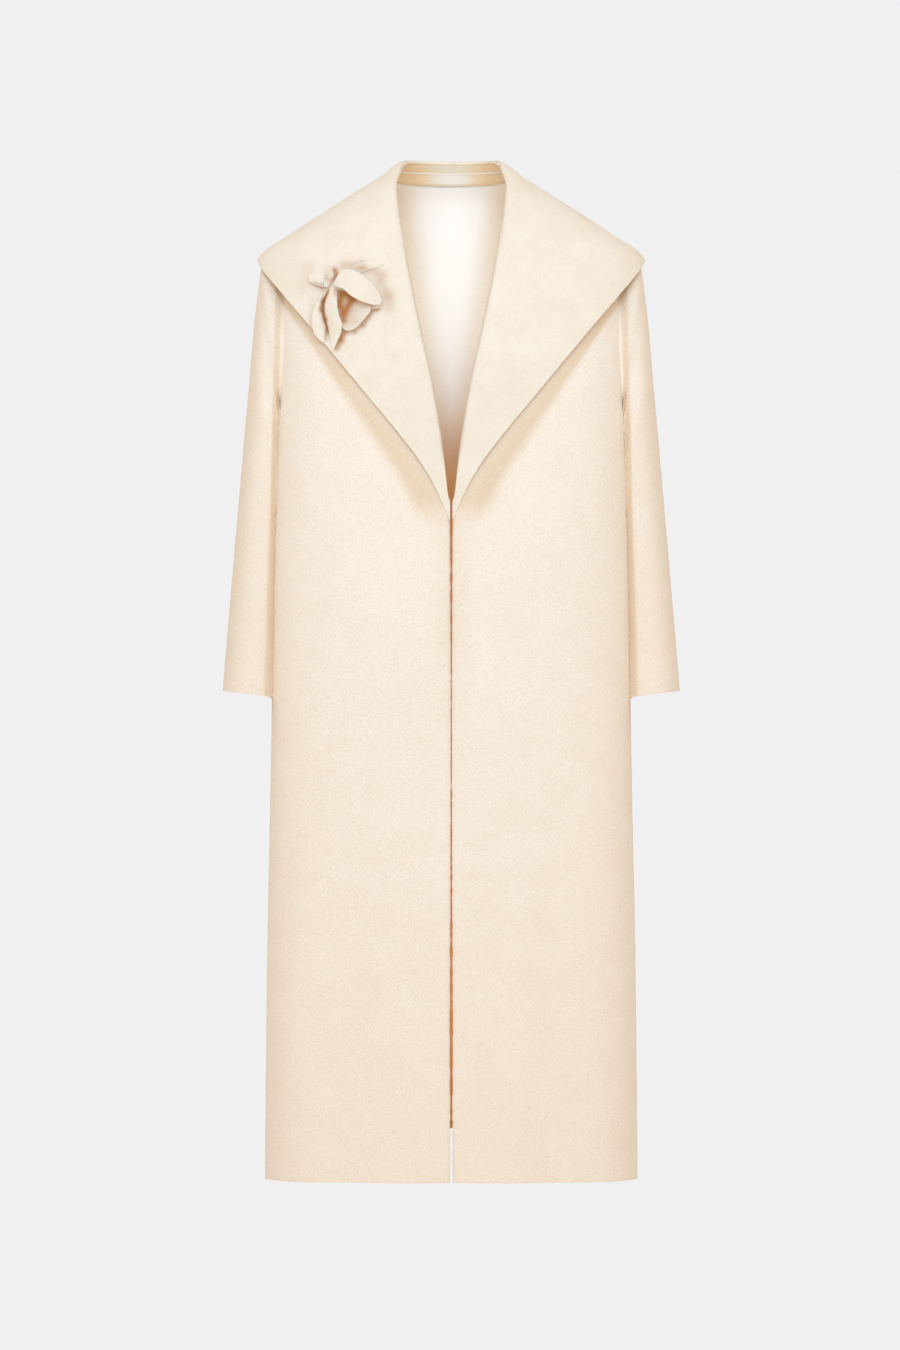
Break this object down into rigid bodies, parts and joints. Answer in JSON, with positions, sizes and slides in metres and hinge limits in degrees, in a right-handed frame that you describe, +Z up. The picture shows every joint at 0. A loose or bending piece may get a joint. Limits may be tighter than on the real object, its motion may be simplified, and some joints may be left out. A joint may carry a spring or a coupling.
{
  "type": "long coat with wide pointed collar",
  "caption": "Long straight edge-to-edge coat with a wide pointed collar, full-length sleeves and a cloth flower on the collar.",
  "frame": {"origin": "middle of the neck opening at the height of the neck-side points, where the wearer's neck and shoulders carry the coat", "axes": "+Z up, -Y the way the coat's front faces, +X the coat's left-right line; the coat is the same on both sides but for the flower on the -X collar"},
  "size_m": [0.588, 0.258, 1.3038],
  "materials": {
    "cream_wool_boucle": "looped cream wool cloth, matt, with a small uneven grain",
    "cream_felted_wool": "smooth felted cream wool, matt with a soft nap",
    "ivory_satin": "ivory satin lining, soft sheen",
    "tan_satin": "light tan satin, soft sheen",
    "nickel_wire": "plated wire, semi-bright",
    "glass_bead": "clear cut glass, polished"
  },
  "bodies": {
    "root": {"back": "cream_wool_boucle", "back_lining": "ivory_satin", "bead_1": "glass_bead", "bead_2": "glass_bead", "bead_3": "glass_bead", "collar_left": "cream_felted_wool", "collar_right": "cream_felted_wool", "eye": "nickel_wire", "front_left": "cream_wool_boucle", "front_right": "cream_wool_boucle", "hook": "nickel_wire", "neck_band_lower": "tan_satin", "neck_band_upper": "tan_satin", "petal_back": "cream_felted_wool", "petal_centre": "cream_felted_wool", "petal_cup": "cream_felted_wool", "petal_left": "cream_felted_wool", "petal_right": "cream_felted_wool", "petal_top": "cream_felted_wool", "petal_upper_left": "cream_felted_wool", "sleeve_left": "cream_wool_boucle", "sleeve_right": "cream_wool_boucle"}
  },
  "joints": []
}
